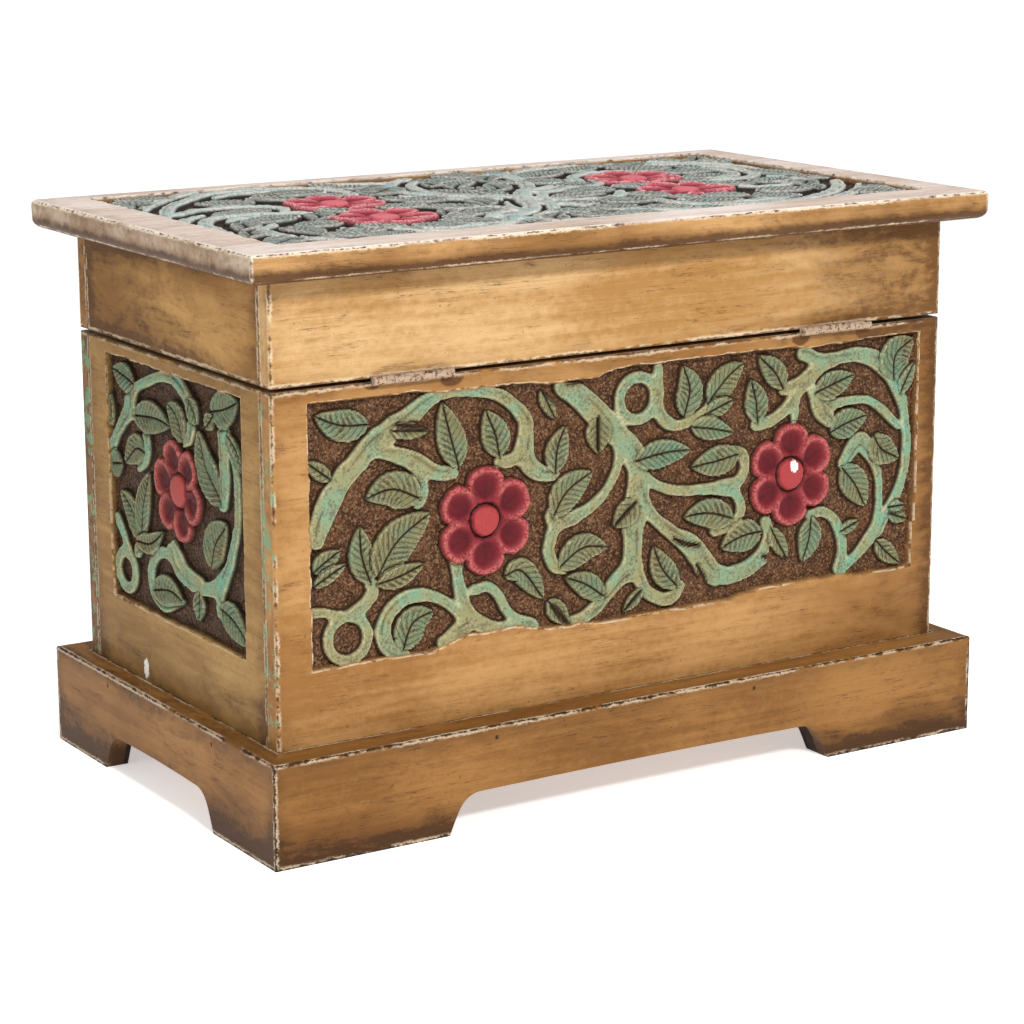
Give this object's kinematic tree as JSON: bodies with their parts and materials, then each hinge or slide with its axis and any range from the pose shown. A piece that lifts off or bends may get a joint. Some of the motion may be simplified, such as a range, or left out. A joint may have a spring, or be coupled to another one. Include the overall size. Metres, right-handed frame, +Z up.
{
  "type": "wooden trunk",
  "caption": "Small wooden trunk with a hinged slab lid, sunk carved panels of scrolling leaves and flowers on every side, and a bracket-footed plinth.",
  "frame": {"origin": "middle of the trunk's footprint, on the plane that the feet stand on", "axes": "+X along the trunk's length to the right of someone who faces its front, +Y towards the back, where the hinges are, +Z up"},
  "size_m": [0.375, 0.217, 0.2531],
  "materials": {
    "carved_wall": "distressed cream and ochre paint, with stained green and red carving on a dark brown ground",
    "painted_wood": "distressed cream and ochre paint under a brown glaze, worn along the edges",
    "bare_wood": "bare planed wood, stained brown",
    "hinge_metal": "thin cream paint worn through to steel",
    "pin_steel": "dull mild steel"
  },
  "bodies": {
    "chest": {"back_board": "carved_wall", "front_board": "carved_wall", "left_end_board": "carved_wall", "right_end_board": "carved_wall", "bottom_board": "bare_wood", "plinth_back": "painted_wood", "plinth_front": "painted_wood", "plinth_left": "painted_wood", "plinth_right": "painted_wood", "hinge_left_chest_leaf": "hinge_metal", "hinge_left_pin": "pin_steel", "hinge_left_chest_screws": "pin_steel", "hinge_right_chest_leaf": "hinge_metal", "hinge_right_pin": "pin_steel", "hinge_right_chest_screws": "pin_steel", "wall_brads": "pin_steel", "plinth_side_brads": "pin_steel", "plinth_end_brads": "pin_steel", "bottom_brads": "pin_steel"},
    "lid": {"lid_slab": "carved_wall", "lid_rim_back": "painted_wood", "lid_rim_front": "painted_wood", "lid_rim_left": "painted_wood", "lid_rim_right": "painted_wood", "hinge_left_lid_leaf": "hinge_metal", "hinge_left_lid_screws": "pin_steel", "hinge_right_lid_leaf": "hinge_metal", "hinge_right_lid_screws": "pin_steel", "rim_brads": "pin_steel"}
  },
  "joints": [
    {"name": "lid_hinge", "type": "hinge", "parent": "chest", "child": "lid", "pos_m": [0, 0.0946, 0.1954], "axis": [-1, 0, 0], "range_deg": [0, 160]}
  ]
}
